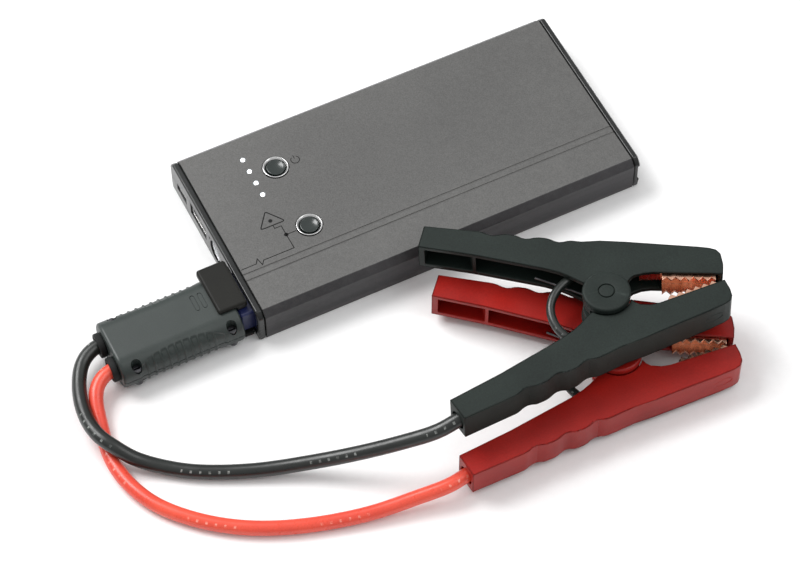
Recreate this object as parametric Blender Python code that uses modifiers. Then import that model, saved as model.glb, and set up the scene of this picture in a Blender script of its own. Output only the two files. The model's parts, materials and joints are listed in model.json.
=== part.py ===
"""Pocket jump starter pack with its plug-in clamp harness.

The frame stands on the pack: X runs along it, away from the port end, Y across it and Z up.
The origin is the centre of the pack's underside. Sizes are in millimetres until MM scales them.
"""
import math

import bmesh
import bpy
import numpy as np
from mathutils import Euler, Matrix, Vector

MM = 0.001
GAP = 0.3

# pack housing
SLEEVE_HALF = 77.5
PACK_HALF_WIDTH = 40.5
PACK_HEIGHT = 16.0
TOP_CHAMFER = (2.5, 2.7)
FOOT_CHAMFER = (0.5, 3.5)
SLEEVE_WALL = 1.2
PORT_FACE = -80.5
REAR_FACE = 80.3
CAP_FLANGE = 2.7
SKIRT_DEPTH = 5.0
SKIRT_WALL = 1.3
GROOVE_Y = (-20.8, -23.8)
GROOVE_WIDTH = 0.7
GROOVE_DEPTH = 0.3

# controls on the top face
BUTTON_X = -45.6
BUTTON_Y = {"power": 19.2, "boost": -10.9}
BUTTON_RADIUS = 5.0
BUTTON_PROUD = 0.4
LIGHT_X = -55.3
LIGHT_FIRST_Y = 28.2
LIGHT_PITCH = 6.07
LIGHT_COUNT = 4
LIGHT_RADIUS = 0.8

# ports on the port end, by centre and opening size
USB_A = {"y": 14.6, "z": 8.3, "width": 13.8, "height": 5.8, "depth": 14.0}
MICRO_USB = {"y": 30.2, "z": 6.9, "width": 8.0, "height": 2.9, "depth": 5.4}
TORCH_Y = -1.6
TORCH_Z = 8.0
TORCH_RADIUS = 4.8
STATUS_HOLE = (3.9, 10.9)
SOCKET_Y = -25.5
SOCKET_Z = 8.0
PLUG_HALF = (10.0, 5.2)
PLUG_STEP = 1.4
CONTACT_SPACING = 10.4
CONTACT_RADIUS = 2.5

# board and cells
BOARD_Z = (3.6, 5.2)
CELL_COUNT = 3
CELL_SIZE = (98.0, 72.0, 3.7)
CELL_PITCH = 4.1
CELL_FIRST_Z = 1.7
CELL_CENTRE_X = 22.0

# plug module
MODULE_REAR = -134.5
MODULE_FRONT = -85.7
MODULE_Y = -26.4
MODULE_Z = 8.0
MODULE_HALF_WIDTH = 14.0
MODULE_RADIUS = 7.6
MODULE_WALL = 1.8
MODULE_END_WALLS = (9.5, 8.0)
SCREW_X = (-128.4, -90.2)
SCREW_OFFSET = 11.6
SCREW_RADIUS = 1.7
NOSE_LOW = (-92.9, -33.0)
NOSE_HIGH = (-81.2, -11.6)
NOSE_TOP = 17.4

# leads
LEAD_RADIUS = 2.75
LEAD_Y = {"black": -20.4, "red": -32.2}
COLLAR_NECK = 4.0
LEAD_START_X = -122.0
LEAD_POINT_STEP = 9.0

# clamps, in their own frame: u towards the jaw tips, v towards the upper arm, w up
ARM_HALF = 6.0
CAVITY_HALF = 4.2
LOBE_RADIUS = 8.5
PIN_RADIUS = 2.4
CAP_RADIUS = 8.9
CAP_HEIGHT = 2.3
HANDLE_END = (-59.8, 43.5)
SHOULDER = (-4.0, 25.4)
GRIP_CENTRES = (-35.7, -24.0, -12.3)
GRIP_HALF = 4.6
GRIP_DEPTH = 1.3
RIB_U = -44.0
TOOTH_COUNT = 6
TOOTH_TIP = 2.4
TOOTH_ROOT = 0.9
TEETH_HALF = 4.6
TEETH_LINE = ((22.0, 5.9), (41.0, 2.2))
# the upper arm's back stands this much further out than the lower arm's mean line, the lower's less
JAW_OFFSET = 0.8
JAW_BACK = (
    (3.0, 23.7), (11.0, 21.7), (20.0, 19.1), (29.0, 16.6), (36.0, 14.6), (41.2, 12.9), (43.5, 11.6),
    (44.6, 9.6))
JAW_MOUTH = (
    (44.5, 5.6), (43.5, 1.4), (39.0, 2.5), (32.0, 4.0), (25.0, 5.6), (18.4, 7.0), (14.6, 7.2),
    (11.6, 6.6), (9.6, 5.2), (8.0, 2.6))
HANDLE_INNER = (
    (-7.2, 6.8), (-9.3, 8.6), (-12.0, 11.0), (-15.0, 13.2), (-20.0, 16.0), (-44.0, 26.8), (-63.6, 34.6))
ARM_EDGE = 1.1
CLAMPS = {
    "black": {"place": (32.8, -98.9, 26.8), "turn": (-2.0, -1.5, -17.0)},
    "red": {"place": (30.3, -113.3, 9.1), "turn": (0.5, 0.5, -18.5)},
}

# hand-chosen routes of the leads between the collar and the clamp's handle
LEAD_ROUTES = {
    "black": (
        (-138.0, -20.6, 8.0), (-144.0, -23.8, 7.6), (-148.5, -30.4, 7.3), (-151.3, -38.1, 7.5),
        (-152.6, -45.4, 7.9), (-152.7, -52.6, 9.0), (-151.3, -58.9, 9.6), (-148.8, -63.4, 9.0),
        (-144.3, -68.7, 6.2), (-138.0, -73.8, 3.8), (-127.9, -81.3, 3.0), (-115.8, -87.9, 3.0),
        (-103.6, -93.4, 3.8), (-90.8, -98.6, 5.9), (-77.6, -104.6, 10.0), (-64.3, -110.7, 15.4),
        (-52.4, -115.6, 20.4), (-44.0, -118.0, 23.6),
    ),
    "red": (
        (-134.8, -32.2, 8.0), (-140.6, -33.7, 7.7), (-145.0, -37.9, 6.7), (-147.2, -43.4, 5.2),
        (-148.4, -49.2, 3.8),
        (-149.5, -54.9, 2.95), (-150.6, -64.0, 2.95), (-149.8, -73.5, 2.95), (-147.2, -82.2, 2.95),
        (-143.1, -90.0, 2.95), (-137.7, -96.8, 2.95), (-128.8, -105.2, 2.95), (-118.2, -112.5, 2.95),
        (-101.9, -120.0, 2.95), (-87.3, -124.5, 3.1), (-72.8, -127.8, 4.1), (-57.6, -130.2, 6.3),
        (-46.0, -131.5, 8.1),
    ),
}
# the leads' last stretch, inside the lower handle, in the clamp's frame
LEAD_IN_HANDLE = (
    (-61.2, -38.9, -0.9), (-50.0, -35.0, -0.3), (-40.0, -30.6, 0.0), (-24.0, -25.2, 0.0), (-8.0, -20.2, 0.0))
SPRING_WIRE = 0.45
JUMPER_RADIUS = 1.65
LEAD_SLACK = 0.8
JUMPER_ROUTE = (
    (13.0, 12.6, 1.6), (6.0, 14.2, 1.9), (-2.0, 14.6, 2.1), (-10.0, 12.6, 2.2), (-16.6, 8.0, 2.0),
    (-20.2, 2.0, 1.2), (-20.2, -4.5, 0.0), (-17.0, -10.4, -1.1), (-11.5, -14.6, -1.4),
)

COLOURS = {
    "anodised_grey": ((0.19, 0.19, 0.19), 0.42, 0.85),
    "black_plastic": ((0.02, 0.022, 0.021), 0.45, 0.0),
    "module_black": ((0.03, 0.036, 0.035), 0.55, 0.0),
    "nose_black": ((0.032, 0.033, 0.03), 0.5, 0.0),
    "clamp_black": ((0.028, 0.036, 0.034), 0.6, 0.0),
    "clamp_red": ((0.45, 0.025, 0.02), 0.4, 0.0),
    "lead_black": ((0.02, 0.024, 0.022), 0.4, 0.0),
    "lead_red": ((0.72, 0.06, 0.035), 0.38, 0.0),
    "connector_blue": ((0.018, 0.03, 0.12), 0.4, 0.0),
    "brass": ((0.7, 0.5, 0.2), 0.3, 1.0),
    "copper": ((0.62, 0.28, 0.16), 0.28, 1.0),
    "steel": ((0.6, 0.6, 0.6), 0.25, 1.0),
    "button_dark": ((0.03, 0.035, 0.034), 0.15, 0.0),
    "light_white": ((0.9, 0.95, 1.0), 0.3, 0.0),
    "lens_clear": ((0.85, 0.88, 0.9), 0.1, 0.0),
    "reflector": ((0.85, 0.85, 0.85), 0.12, 1.0),
    "board_green": ((0.02, 0.1, 0.04), 0.5, 0.0),
    "cell_wrap": ((0.35, 0.37, 0.4), 0.35, 0.6),
    "rubber_black": ((0.015, 0.015, 0.015), 0.7, 0.0),
}


def clear_scene():
    for obj in list(bpy.data.objects):
        bpy.data.objects.remove(obj, do_unlink=True)


def new_collection(name):
    collection = bpy.data.collections.new(name)
    bpy.context.scene.collection.children.link(collection)
    return collection


clear_scene()
PARTS = new_collection("jump_starter_pack")
CUTTERS = new_collection("cutters")


def material(name):
    found = bpy.data.materials.get(name)
    if found:
        return found
    colour, roughness, metallic = COLOURS[name]
    made = bpy.data.materials.new(name)
    made.use_nodes = True
    shader = made.node_tree.nodes["Principled BSDF"]
    shader.inputs["Base Color"].default_value = (*colour, 1.0)
    shader.inputs["Roughness"].default_value = roughness
    shader.inputs["Metallic"].default_value = metallic
    return made


def finish_object(obj, look, parent):
    """Put an object among the parts, or among the cutters when it has no look."""
    for collection in list(obj.users_collection):
        collection.objects.unlink(obj)
    (PARTS if look else CUTTERS).objects.link(obj)
    if look:
        obj.data.materials.clear()
        obj.data.materials.append(material(look))
        obj.data.shade_smooth()
        obj.data.set_sharp_from_angle(angle=math.radians(35))
    else:
        obj.hide_render = True
        obj.display_type = "WIRE"
    obj.parent = parent
    return obj


def mesh_object(name, bm, look, parent, matrix):
    bmesh.ops.recalc_face_normals(bm, faces=bm.faces)
    mesh = bpy.data.meshes.new(name)
    bm.to_mesh(mesh)
    bm.free()
    obj = bpy.data.objects.new(name, mesh)
    PARTS.objects.link(obj)
    obj.matrix_local = matrix
    return finish_object(obj, look, parent)


def soften(obj, width, segments=1):
    edge = obj.modifiers.new("rounded_edges", "BEVEL")
    edge.width = width * MM
    edge.segments = segments
    edge.limit_method = "ANGLE"
    edge.angle_limit = math.radians(38)
    edge.use_clamp_overlap = True
    return obj


def box(name, low, high, look=None, parent=None, edge=0.0):
    low, high = Vector(low), Vector(high)
    bm = bmesh.new()
    bmesh.ops.create_cube(bm, size=MM)
    bmesh.ops.scale(bm, vec=high - low, verts=bm.verts)
    obj = mesh_object(name, bm, look, parent, Matrix.Translation((low + high) / 2 * MM))
    return soften(obj, edge) if edge else obj


def cylinder(name, radius, start, end, look=None, parent=None, sides=32, edge=0.0):
    start, end = Vector(start) * MM, Vector(end) * MM
    bm = bmesh.new()
    bmesh.ops.create_cone(
        bm, cap_ends=True, segments=sides, radius1=radius * MM, radius2=radius * MM,
        depth=(end - start).length)
    turn = (end - start).to_track_quat("Z", "Y").to_matrix().to_4x4()
    obj = mesh_object(name, bm, look, parent, Matrix.Translation((start + end) / 2) @ turn)
    return soften(obj, edge) if edge else obj


def mesh_from_curve(curve_object):
    """Turn a curve object into a welded mesh and drop the curve."""
    graph = bpy.context.evaluated_depsgraph_get()
    mesh = bpy.data.meshes.new_from_object(curve_object.evaluated_get(graph))
    bm = bmesh.new()
    bm.from_mesh(mesh)
    bmesh.ops.remove_doubles(bm, verts=bm.verts, dist=1e-6)
    bmesh.ops.recalc_face_normals(bm, faces=bm.faces)
    bm.to_mesh(mesh)
    bm.free()
    bpy.data.objects.remove(curve_object, do_unlink=True)
    return mesh


def plate(name, outlines, half, matrix=None, look=None, parent=None, edge=0.0):
    """Extrude flat outlines both ways along their normal; inner outlines become holes."""
    curve = bpy.data.curves.new(name, "CURVE")
    curve.dimensions = "2D"
    curve.fill_mode = "BOTH"
    curve.extrude = half * MM
    for points in outlines:
        spline = curve.splines.new("POLY")
        spline.points.add(len(points) - 1)
        spline.use_cyclic_u = True
        for point, (x, y) in zip(spline.points, points):
            point.co = (x * MM, y * MM, 0.0, 1.0)
    holder = bpy.data.objects.new(name, curve)
    PARTS.objects.link(holder)
    bpy.context.view_layer.update()
    mesh = mesh_from_curve(holder)
    obj = bpy.data.objects.new(name, mesh)
    PARTS.objects.link(obj)
    obj.matrix_local = matrix or Matrix.Identity(4)
    finish_object(obj, look, parent)
    return soften(obj, edge) if edge else obj


def turned(name, profile, matrix, look=None, parent=None, steps=32):
    """Spin a profile of (radius, height), listed down its outer side from the top, about Z."""
    bm = bmesh.new()
    verts = [bm.verts.new((radius * MM, 0.0, height * MM)) for radius, height in profile]
    for first, second in zip(verts, verts[1:]):
        bm.edges.new((first, second))
    if profile[0][0] > 0:
        bm.edges.new((verts[-1], verts[0]))
    mesh = bpy.data.meshes.new(name)
    bm.to_mesh(mesh)
    bm.free()
    obj = bpy.data.objects.new(name, mesh)
    PARTS.objects.link(obj)
    obj.matrix_local = matrix
    screw = obj.modifiers.new("turn", "SCREW")
    screw.steps = steps
    screw.render_steps = steps
    screw.use_merge_vertices = True
    screw.merge_threshold = 0.00001
    screw.use_smooth_shade = True
    finish_object(obj, look, parent)
    return obj


def tube(name, points, radius, look, parent=None, resolution=2):
    curve = bpy.data.curves.new(name, "CURVE")
    curve.dimensions = "3D"
    curve.bevel_depth = radius * MM
    curve.bevel_resolution = resolution
    curve.use_fill_caps = True
    spline = curve.splines.new("POLY")
    spline.points.add(len(points) - 1)
    for point, place in zip(spline.points, points):
        point.co = (*(Vector(place) * MM), 1.0)
    curve.materials.append(material(look))
    obj = bpy.data.objects.new(name, curve)
    PARTS.objects.link(obj)
    obj.parent = parent
    return obj


def combine(obj, other, operation):
    step = obj.modifiers.new(operation.lower(), "BOOLEAN")
    step.operation = operation
    step.solver = "EXACT"
    step.object = other
    return obj


def cut(obj, *others):
    for other in others:
        combine(obj, other, "DIFFERENCE")
    return obj


def join(obj, *others):
    for other in others:
        combine(obj, other, "UNION")
    return obj


def smooth_route(points, step):
    """Evenly spaced points on the natural cubic spline through the given points."""
    knots = np.array([tuple(point) for point in points])
    at = np.concatenate([[0.0], np.cumsum(np.linalg.norm(np.diff(knots, axis=0), axis=1))])
    span = np.diff(at)[:, None]
    slope = np.diff(knots, axis=0) / span
    system = np.eye(len(knots))
    bend = np.zeros(knots.shape)
    for i in range(1, len(knots) - 1):
        system[i, i - 1:i + 2] = span[i - 1, 0], 2 * (span[i - 1, 0] + span[i, 0]), span[i, 0]
        bend[i] = 6 * (slope[i] - slope[i - 1])
    bend = np.linalg.solve(system, bend)
    fine = np.linspace(0.0, at[-1], 40 * len(knots))
    part = np.clip(np.searchsorted(at, fine) - 1, 0, len(span) - 1)
    low, high = (fine - at[part])[:, None], (at[part + 1] - fine)[:, None]
    width = span[part]
    curve = (bend[part] * high ** 3 + bend[part + 1] * low ** 3) / (6 * width)
    curve += (knots[part] / width - bend[part] * width / 6) * high
    curve += (knots[part + 1] / width - bend[part + 1] * width / 6) * low
    run = np.concatenate([[0.0], np.cumsum(np.linalg.norm(np.diff(curve, axis=0), axis=1))])
    places = np.linspace(0.0, run[-1], max(2, round(run[-1] / step) + 1))
    return [Vector(point) for point in zip(*(np.interp(places, run, curve[:, k]) for k in range(3)))]


# outlines in the Y-Z plane, extruded along X
def along_x(x):
    return Matrix(((0, 0, 1, x * MM), (1, 0, 0, 0), (0, 1, 0, 0), (0, 0, 0, 1)))


def pack_outline(inset):
    """The pack's eight-sided section, moved inwards by inset."""
    half = PACK_HALF_WIDTH - inset
    slope = inset * 0.414
    side = [
        (half - FOOT_CHAMFER[0], inset), (half, FOOT_CHAMFER[1]),
        (half, PACK_HEIGHT - TOP_CHAMFER[1] - slope), (half - TOP_CHAMFER[0] + slope, PACK_HEIGHT - inset)]
    return side + [(-y, z) for y, z in reversed(side)]


def slab_x(name, outlines, x_from, x_to, look=None, edge=0.0):
    return plate(name, outlines, (x_to - x_from) / 2, along_x((x_from + x_to) / 2), look, None, edge)


def upright(x, y, z=0.0):
    return Matrix.Translation(Vector((x, y, z)) * MM)


def facing_port(x, y, z):
    """Z of the turned profile points out of the port end."""
    return Matrix.Translation(Vector((x, y, z)) * MM) @ Matrix.Rotation(-math.pi / 2, 4, "Y")


def light_places():
    return [LIGHT_FIRST_Y - index * LIGHT_PITCH for index in range(LIGHT_COUNT)]


def case_sleeve():
    sleeve = slab_x(
        "case_sleeve", [pack_outline(0.0), pack_outline(SLEEVE_WALL)], -SLEEVE_HALF, SLEEVE_HALF,
        "anodised_grey")
    top = PACK_HEIGHT
    for index, y in enumerate(GROOVE_Y):
        half = GROOVE_WIDTH / 2
        cut(sleeve, box(
            f"cut_groove_{index}", (-90, y - half, top - GROOVE_DEPTH), (90, y + half, top + 1)))
    for name, y in BUTTON_Y.items():
        cut(sleeve, cylinder(
            f"cut_{name}_hole", BUTTON_RADIUS + GAP, (BUTTON_X, y, top - 3), (BUTTON_X, y, top + 3)))
    for index, y in enumerate(light_places()):
        cut(sleeve, cylinder(
            f"cut_light_{index}", LIGHT_RADIUS + GAP, (LIGHT_X, y, top - 3), (LIGHT_X, y, top + 3), sides=16))


def end_cap(name, face, sign):
    """A flange outside the sleeve and a skirt ring that slides inside it."""
    flange_inner = sign * (SLEEVE_HALF + GAP)
    low, high = sorted((face, flange_inner))
    cap = slab_x(name, [pack_outline(0.0)], low, high, "black_plastic", edge=0.5)
    inset = SLEEVE_WALL + GAP
    low, high = sorted((flange_inner - sign * SKIRT_DEPTH, flange_inner + sign * 0.4))
    skirt = slab_x(f"{name}_skirt", [pack_outline(inset), pack_outline(inset + SKIRT_WALL)], low, high)
    join(cap, skirt)
    return cap


def port_window(name, y, z, width, height):
    return box(name, (-90, y - width / 2, z - height / 2), (-72, y + width / 2, z + height / 2))


def port_end_cap():
    cap = end_cap("port_end_cap", PORT_FACE, -1)
    cut(cap, port_window("cut_usb_a", USB_A["y"], USB_A["z"], USB_A["width"] + 0.6, USB_A["height"] + 0.6))
    cut(cap, port_window(
        "cut_micro_usb", MICRO_USB["y"], MICRO_USB["z"], MICRO_USB["width"] + 0.6, MICRO_USB["height"] + 0.6))
    cut(cap, cylinder("cut_torch", TORCH_RADIUS + GAP, (-90, TORCH_Y, TORCH_Z), (-70, TORCH_Y, TORCH_Z)))
    y, z = STATUS_HOLE
    cut(cap, cylinder("cut_status", 0.6, (-90, y, z), (-70, y, z), sides=12))
    cut(cap, port_window("cut_socket", SOCKET_Y, SOCKET_Z, 24.6, 12.6))


def rear_end_cap():
    cap = end_cap("rear_end_cap", REAR_FACE, 1)
    cut(cap, box("cut_rear_recess", (REAR_FACE - 1.0, -60, 3.8), (90, 60, 12.4)))


def button(name):
    """A bright rim with a retaining flange, and the dark face pressed into it."""
    y = BUTTON_Y[name]
    top = PACK_HEIGHT + BUTTON_PROUD
    under = PACK_HEIGHT - SLEEVE_WALL - GAP
    inner = BUTTON_RADIUS - 1.15
    turned(f"{name}_button_rim", [
        (inner + 0.25, top), (BUTTON_RADIUS - 0.55, top), (BUTTON_RADIUS, top - 0.5),
        (BUTTON_RADIUS, under), (BUTTON_RADIUS + 0.9, under), (BUTTON_RADIUS + 0.9, under - 0.8),
        (inner, under - 0.8), (inner, top - 0.5)], upright(BUTTON_X, y), "steel", steps=28)
    face = inner - GAP
    turned(f"{name}_button_face", [
        (0.0, top - 0.45), (face * 0.5, top - 0.38), (face - 0.3, top - 0.12), (face, top - 0.3),
        (face, under - 0.5), (1.3, under - 0.5), (1.3, under - 1.6), (0.0, under - 1.6)],
        upright(BUTTON_X, y), "button_dark", steps=24)
    box(f"{name}_switch", (BUTTON_X - 3, y - 3, BOARD_Z[1] + GAP),
        (BUTTON_X + 3, y + 3, under - 2.2), "black_plastic", edge=0.3)


def indicator_lights():
    for index, y in enumerate(light_places()):
        cylinder(
            f"indicator_light_{index + 1}", LIGHT_RADIUS, (LIGHT_X, y, BOARD_Z[1] + GAP),
            (LIGHT_X, y, PACK_HEIGHT - 0.05), "light_white", sides=16)


def torch():
    out = facing_port(-79.6, TORCH_Y, TORCH_Z)
    rim = TORCH_RADIUS
    turned("torch_reflector", [
        (rim - 0.6, -0.2), (rim, -0.2), (rim, -4.6), (1.2, -4.6), (1.2, -4.0), (2.2, -3.6),
        (3.4, -2.2)], out, "reflector", steps=28)
    turned("torch_lens", [
        (0.0, 0.75), (rim * 0.6, 0.6), (rim, 0.2), (rim, 0.1), (0.0, 0.1)], out, "lens_clear", steps=28)
    cylinder("torch_led", 0.9, (-76.2, TORCH_Y, TORCH_Z), (-74.4, TORCH_Y, TORCH_Z), "light_white", sides=16)


def usb_shell(name, port, tongue):
    """A stamped shell, open at the mouth, with the contact tongue standing in it."""
    y, z = port["y"], port["z"]
    half_width, half_height = port["width"] / 2 - GAP, port["height"] / 2 - GAP
    mouth = PORT_FACE + 0.6
    back = mouth + port["depth"]
    shell = box(
        name, (mouth, y - half_width, z - half_height), (back, y + half_width, z + half_height), "steel")
    cut(shell, box(
        f"cut_{name}", (mouth - 1, y - half_width + 0.4, z - half_height + 0.4),
        (back - 0.8, y + half_width - 0.4, z + half_height - 0.4)))
    low, high = tongue
    join(shell, box(
        f"{name}_tongue", (mouth + 1.0, y - half_width + 1.4, z + low),
        (back - 0.4, y + half_width - 1.4, z + high)))


def main_board():
    board = box("main_board", (-57.5, -16, BOARD_Z[0]), (-31, 37, BOARD_Z[1]), "board_green")
    join(board, box("board_tongue", (-72, -11.4, BOARD_Z[0]), (-57, 37, BOARD_Z[1])))
    join(board, box("board_chip", (-44, 0, BOARD_Z[1] - 0.2), (-37, 7, BOARD_Z[1] + 1.2)))
    cut(board, box("cut_board_usb", (-90, USB_A["y"] - 9, 0), (-65.2, 45, 9)))
    cut(board, box("cut_board_torch", (-90, -8, 0), (-72.5, 6, 9)))


def battery_cells():
    length, width, thick = CELL_SIZE
    for index in range(CELL_COUNT):
        base = CELL_FIRST_Z + index * CELL_PITCH
        box(f"battery_cell_{index + 1}", (CELL_CENTRE_X - length / 2, -width / 2, base),
            (CELL_CENTRE_X + length / 2, width / 2, base + thick), "cell_wrap", edge=0.8)


def power_socket():
    """The housing behind the port face that the blue plug pushes into."""
    half_y, half_z = PLUG_HALF
    wall = 1.8
    socket = box(
        "power_socket", (-79.9, SOCKET_Y - half_y - wall, SOCKET_Z - half_z - 0.8),
        (-59.0, SOCKET_Y + half_y + wall, SOCKET_Z + half_z + 0.8), "connector_blue")
    cut(socket, box(
        "cut_socket_mouth", (-90, SOCKET_Y - half_y - GAP, SOCKET_Z - half_z - GAP),
        (-66.0, SOCKET_Y + half_y + GAP, SOCKET_Z + half_z + GAP)))
    for side in (-1, 1):
        y = SOCKET_Y + side * CONTACT_SPACING / 2
        cut(socket, cylinder(
            f"cut_socket_bore_{side}", CONTACT_RADIUS + GAP, (-70, y, SOCKET_Z), (-50, y, SOCKET_Z),
            sides=20))


def socket_flap():
    """The rubber tongue under the plug, folded out of the socket's way."""
    reach, low, high = 4.4, 0.4, 2.2
    box("socket_flap", (PORT_FACE - reach, SOCKET_Y - 11.3, low), (PORT_FACE - GAP, SOCKET_Y + 10.5, high),
        "rubber_black", edge=0.4)


def stadium(half_width, radius, centre=(0.0, 0.0), sides=10):
    """Two half circles joined by flats, in the Y-Z plane."""
    flat = half_width - radius
    points = []
    for side, first in ((1, -90), (-1, 90)):
        for number in range(sides + 1):
            angle = math.radians(first + 180 * number / sides)
            points.append((
                centre[0] + side * flat + radius * math.cos(angle), centre[1] + radius * math.sin(angle)))
    return points


def module_shell(name, side):
    """Half of the plug module: side 1 is the upper shell, -1 the lower."""
    centre = (MODULE_Y, MODULE_Z)
    shell = slab_x(
        name, [stadium(MODULE_HALF_WIDTH, MODULE_RADIUS, centre)], MODULE_REAR, MODULE_FRONT,
        "module_black", edge=0.8)
    rear, front = MODULE_END_WALLS
    cut(shell, slab_x(
        f"cut_{name}_hollow",
        [stadium(MODULE_HALF_WIDTH - MODULE_WALL, MODULE_RADIUS - MODULE_WALL, centre)],
        MODULE_REAR + rear, MODULE_FRONT - front))
    split = MODULE_Z + side * GAP / 2
    low, high = sorted((split, split - side * 30))
    cut(shell, box(f"cut_{name}_split", (-150, -60, low), (-70, 10, high)))
    for y in LEAD_Y.values():
        cut(shell, cylinder(
            f"cut_{name}_lead_{-y:.0f}", COLLAR_NECK + GAP, (-150, y, MODULE_Z), (-120, y, MODULE_Z)))
    half_y, half_z = PLUG_HALF[0] - PLUG_STEP + GAP, PLUG_HALF[1]
    cut(shell, box(f"cut_{name}_plug", (-98, SOCKET_Y - half_y, SOCKET_Z - half_z),
                   (-80, SOCKET_Y + half_y, SOCKET_Z + half_z)))
    for x in SCREW_X:
        for offset in (-SCREW_OFFSET, SCREW_OFFSET):
            y = MODULE_Y + offset
            reach = (MODULE_Z - 5.5, MODULE_Z + 12)
            cut(shell, cylinder(
                f"cut_{name}_screw_{x:.0f}_{offset:.0f}", SCREW_RADIUS + GAP, (x, y, reach[0]),
                (x, y, reach[1]), sides=16))
    return shell


def module_screws():
    number = 0
    for x in SCREW_X:
        for offset in (-SCREW_OFFSET, SCREW_OFFSET):
            number += 1
            y = MODULE_Y + offset
            screw = cylinder(
                f"module_screw_{number}", SCREW_RADIUS, (x, y, MODULE_Z - 5.2), (x, y, MODULE_Z + 3.4),
                "steel", sides=16)
            cut(screw, box(
                f"cut_drive_{number}", (x - 1.2, y - 0.3, MODULE_Z + 2.4), (x + 1.2, y + 0.3, MODULE_Z + 4)))


def nose_cap():
    """The smooth hood over the plug, set towards the far side of the module."""
    seat = MODULE_Z + MODULE_RADIUS - 2.1
    hood = box("module_nose_cap", (*NOSE_LOW, seat), (*NOSE_HIGH, NOSE_TOP), "nose_black", edge=0.7)
    far = NOSE_HIGH[1]
    join(hood, box("nose_cap_side", (-85.4, far - 2.8, 6.0), (-82.3, far - 0.4, seat + 2)))
    channel = slab_x(
        "cut_nose_seat", [stadium(MODULE_HALF_WIDTH + GAP, MODULE_RADIUS + GAP, (MODULE_Y, MODULE_Z))],
        -100, MODULE_FRONT + GAP)
    cut(hood, channel)


def plug():
    half_y, half_z = PLUG_HALF
    body = box(
        "power_plug", (MODULE_FRONT + GAP, SOCKET_Y - half_y, SOCKET_Z - half_z),
        (-66.4, SOCKET_Y + half_y, SOCKET_Z + half_z), "connector_blue", edge=0.7)
    half_y -= PLUG_STEP
    join(body, box("plug_shank", (-97.6, SOCKET_Y - half_y, SOCKET_Z - half_z + 0.4),
                   (-84.0, SOCKET_Y + half_y, SOCKET_Z + half_z - 0.4)))
    for name, side in (("positive", -1), ("negative", 1)):
        y = SOCKET_Y + side * CONTACT_SPACING / 2
        cut(body, cylinder(
            f"cut_plug_{name}", CONTACT_RADIUS + GAP, (-110, y, SOCKET_Z), (-60, y, SOCKET_Z), sides=20))
        cylinder(
            f"plug_contact_{name}", CONTACT_RADIUS, (-100.5, y, SOCKET_Z), (-60.5, y, SOCKET_Z), "brass",
            sides=20, edge=0.6)


def module_board():
    board = box("module_board", (-120.8, -37, 4.8), (-101.6, -16, 6.2), "board_green")
    join(board, box("module_relay_block", (-116.5, -34, 6.0), (-104.5, -19, 12.8)))


def lead_collar(colour):
    y = LEAD_Y[colour]
    turned(f"{colour}_lead_collar", [
        (3.5, 2.6), (4.4, 2.6), (4.8, 2.1), (4.8, 0.3), (COLLAR_NECK, 0.3), (COLLAR_NECK, -2.6), (3.1, -2.6)],
        facing_port(MODULE_REAR, y, MODULE_Z), "rubber_black", steps=24)


def clamp_matrix(colour):
    place, turn = CLAMPS[colour]["place"], CLAMPS[colour]["turn"]
    roll, pitch, yaw = (math.radians(angle) for angle in turn)
    return Matrix.Translation(Vector(place) * MM) @ Matrix.Rotation(yaw, 4, "Z") @ Euler(
        (0, pitch, 0)).to_matrix().to_4x4() @ Euler((roll, 0, 0)).to_matrix().to_4x4()


def lead(colour):
    y = LEAD_Y[colour]
    matrix = clamp_matrix(colour)
    inside = [matrix @ (Vector(point) * MM) / MM for point in LEAD_IN_HANDLE]
    points = [(LEAD_START_X, y, MODULE_Z), (-130.0, y, MODULE_Z)] + list(LEAD_ROUTES[colour]) + inside
    tube(f"{colour}_lead", smooth_route(points, LEAD_POINT_STEP), LEAD_RADIUS, f"lead_{colour}", resolution=3)


def lead_line(u):
    """A point on the lead's straight run through the end wall and the rib of the lower handle."""
    low, high = Vector(LEAD_IN_HANDLE[0]), Vector(LEAD_IN_HANDLE[2])
    return low.lerp(high, (u - low.x) / (high.x - low.x))


def grip_line(u):
    return HANDLE_END[1] + (u - HANDLE_END[0]) * (SHOULDER[1] - HANDLE_END[1]) / (SHOULDER[0] - HANDLE_END[0])


def arm_outline(side):
    """The arm seen along the pivot; side 1 is the upper arm, -1 the lower."""
    points = [HANDLE_END]
    steps = 6
    for centre in GRIP_CENTRES:
        for number in range(steps + 1):
            t = 2 * number / steps - 1
            u = centre + t * GRIP_HALF
            points.append((u, grip_line(u) - GRIP_DEPTH * 0.5 * (1 + math.cos(math.pi * t))))
    points += [SHOULDER] + [(u, v + side * JAW_OFFSET) for u, v in JAW_BACK]
    points += JAW_MOUTH + HANDLE_INNER
    return [(u, side * v) for u, v in points]


def cavity_outlines(side):
    """The hollows of an arm's channel, open towards the other arm, each with its half width."""
    offset = 3.0
    far = [
        (-61.3, 12.0), (-61.3, 34.4), (-58.7, 41.2), (RIB_U - 0.6, grip_line(RIB_U) - 1.9),
        (RIB_U - 0.6, 12.0)]
    near = [
        (RIB_U + 0.6, 12.0), (RIB_U + 0.6, grip_line(RIB_U) - 2.2), (RIB_U + 2.6, grip_line(RIB_U) - 4.1),
        (-4.6, SHOULDER[1] - offset), (3.0, 20.6), (19.6, 16.6), (40.6, 10.6), (42.3, 8.6),
        (42.3, -12.0), (-20.0, -12.0)]
    jaw = [(21.3, -12.7), (21.3, 12.2), (40.8, 8.4), (41.9, 7.6), (41.9, -12.7)]
    widths = (CAVITY_HALF, CAVITY_HALF, TEETH_HALF + GAP)
    return [([(u, side * v) for u, v in points], width) for points, width in zip((far, near, jaw), widths)]


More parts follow.
